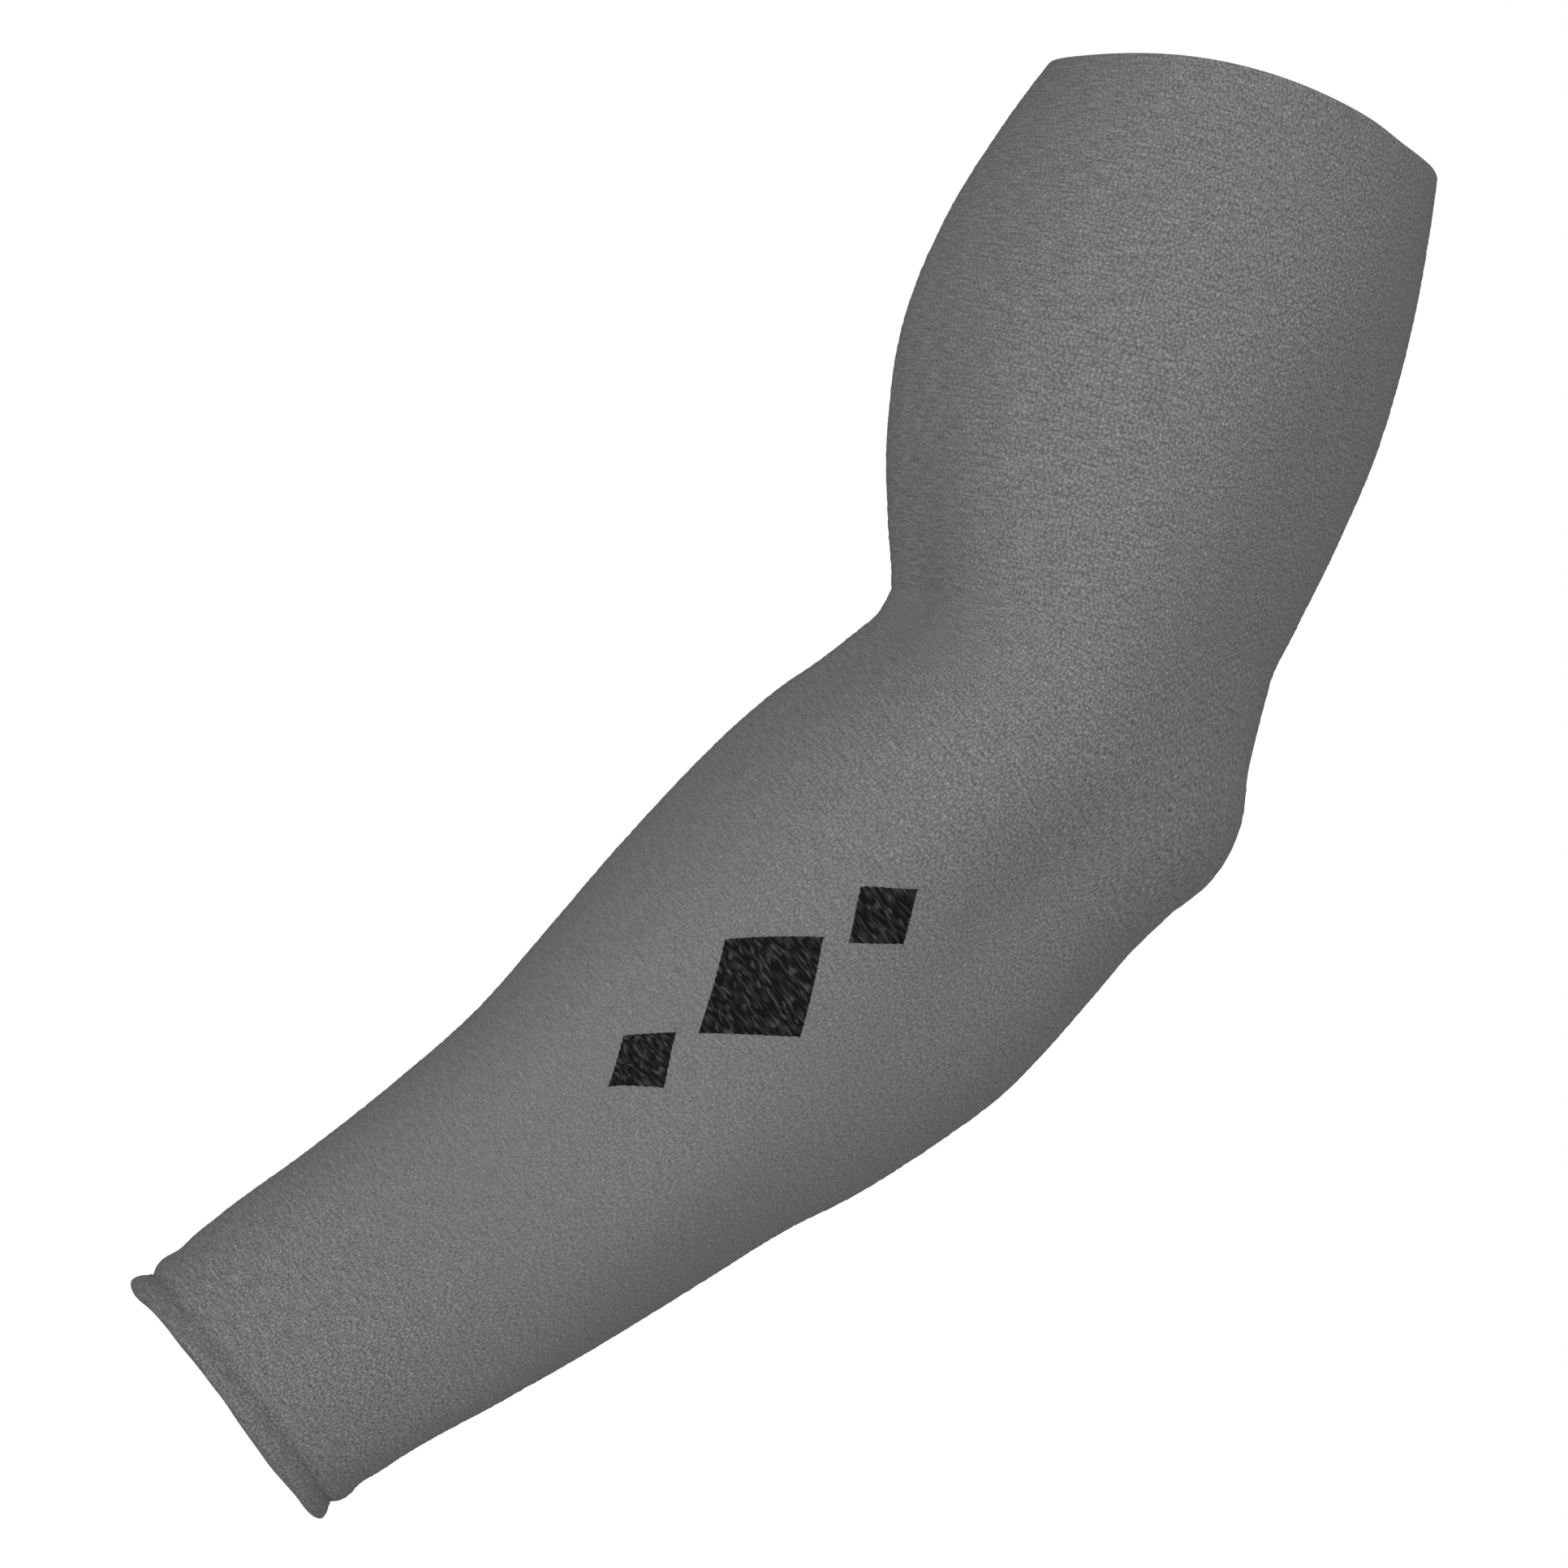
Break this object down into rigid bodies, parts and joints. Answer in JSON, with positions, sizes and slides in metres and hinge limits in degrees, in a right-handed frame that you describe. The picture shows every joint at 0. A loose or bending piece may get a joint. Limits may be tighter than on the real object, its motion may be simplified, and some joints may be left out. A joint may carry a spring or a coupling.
{
  "type": "arm compression sleeve",
  "caption": "Seamless grey knitted arm compression sleeve in its worn form on a slightly bent arm, with a plain upper edge, a turned wrist hem and black lozenges on the forearm.",
  "frame": {"origin": "centre of the upper opening, level along the arm with the two sides of its edge", "axes": "+Z from the centre of the wrist opening to the centre of the upper opening; +X towards the elbow's tip, so the arm bends in the XZ plane; Y is the depth, with the motif on the -Y side"},
  "size_m": [0.1493, 0.1018, 0.4117],
  "materials": {
    "grey_knit": "matte fine-gauge jersey knit, mid grey, with a mottled grain and sparse lighter flecks",
    "grey_hem": "the same knit doubled, slightly darker along its groove",
    "black_print": "matte black yarn with short lighter streaks along the courses"
  },
  "bodies": {
    "root": {"sleeve_tube": "grey_knit", "wrist_hem": "grey_hem", "motif_upper": "black_print", "motif_middle": "black_print", "motif_lower": "black_print"}
  },
  "joints": []
}
